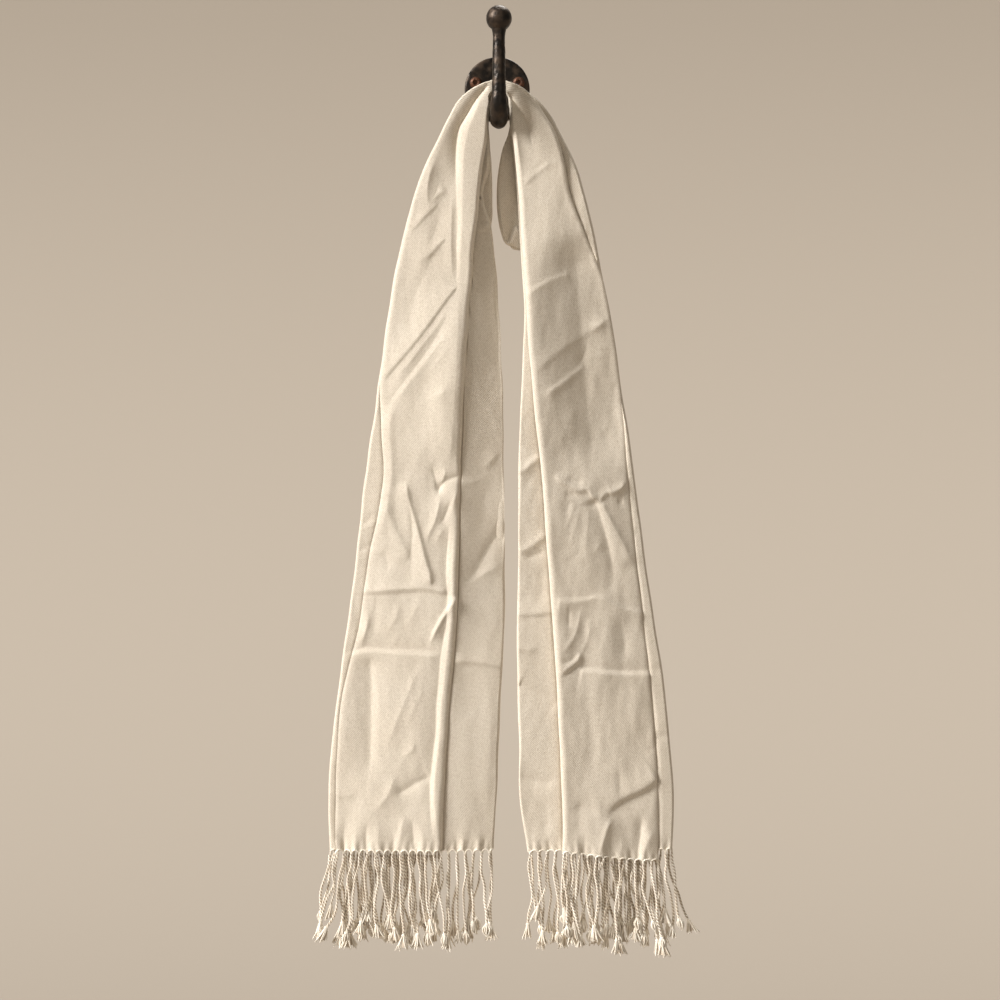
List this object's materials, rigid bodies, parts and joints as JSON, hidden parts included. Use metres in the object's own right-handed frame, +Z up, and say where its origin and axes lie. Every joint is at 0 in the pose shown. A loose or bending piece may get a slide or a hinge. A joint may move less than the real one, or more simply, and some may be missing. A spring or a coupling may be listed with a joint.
{
  "type": "fringed wrap scarf on a wall hook",
  "caption": "Long woven wrap scarf with a twisted fringe at each end, pleated over the arm of a ball-tip wall hook so that it hangs as two tails.",
  "frame": {"origin": "centre of the back face of the hook's round plate, on the wall", "axes": "+Z up, +Y into the wall, so that the room is on the -Y side, +X to the right as seen from the room"},
  "size_m": [0.3904, 0.075, 0.9845],
  "materials": {
    "hook": "dark brown-black casting, worn to a dull sheen on its edges",
    "screws": "rusted steel screw heads",
    "cloth": "soft cream twill, matte with a slight nap",
    "fringe": "twisted two-ply cream yarn"
  },
  "bodies": {
    "root": {"hook": "hook", "screw_left": "screws", "screw_right": "screws", "saddle": "cloth", "left_front": "cloth", "left_back": "cloth", "left_sag": "cloth", "right_front": "cloth", "right_back": "cloth", "right_sag": "cloth", "left_fringe": "fringe", "right_fringe": "fringe"}
  },
  "joints": []
}
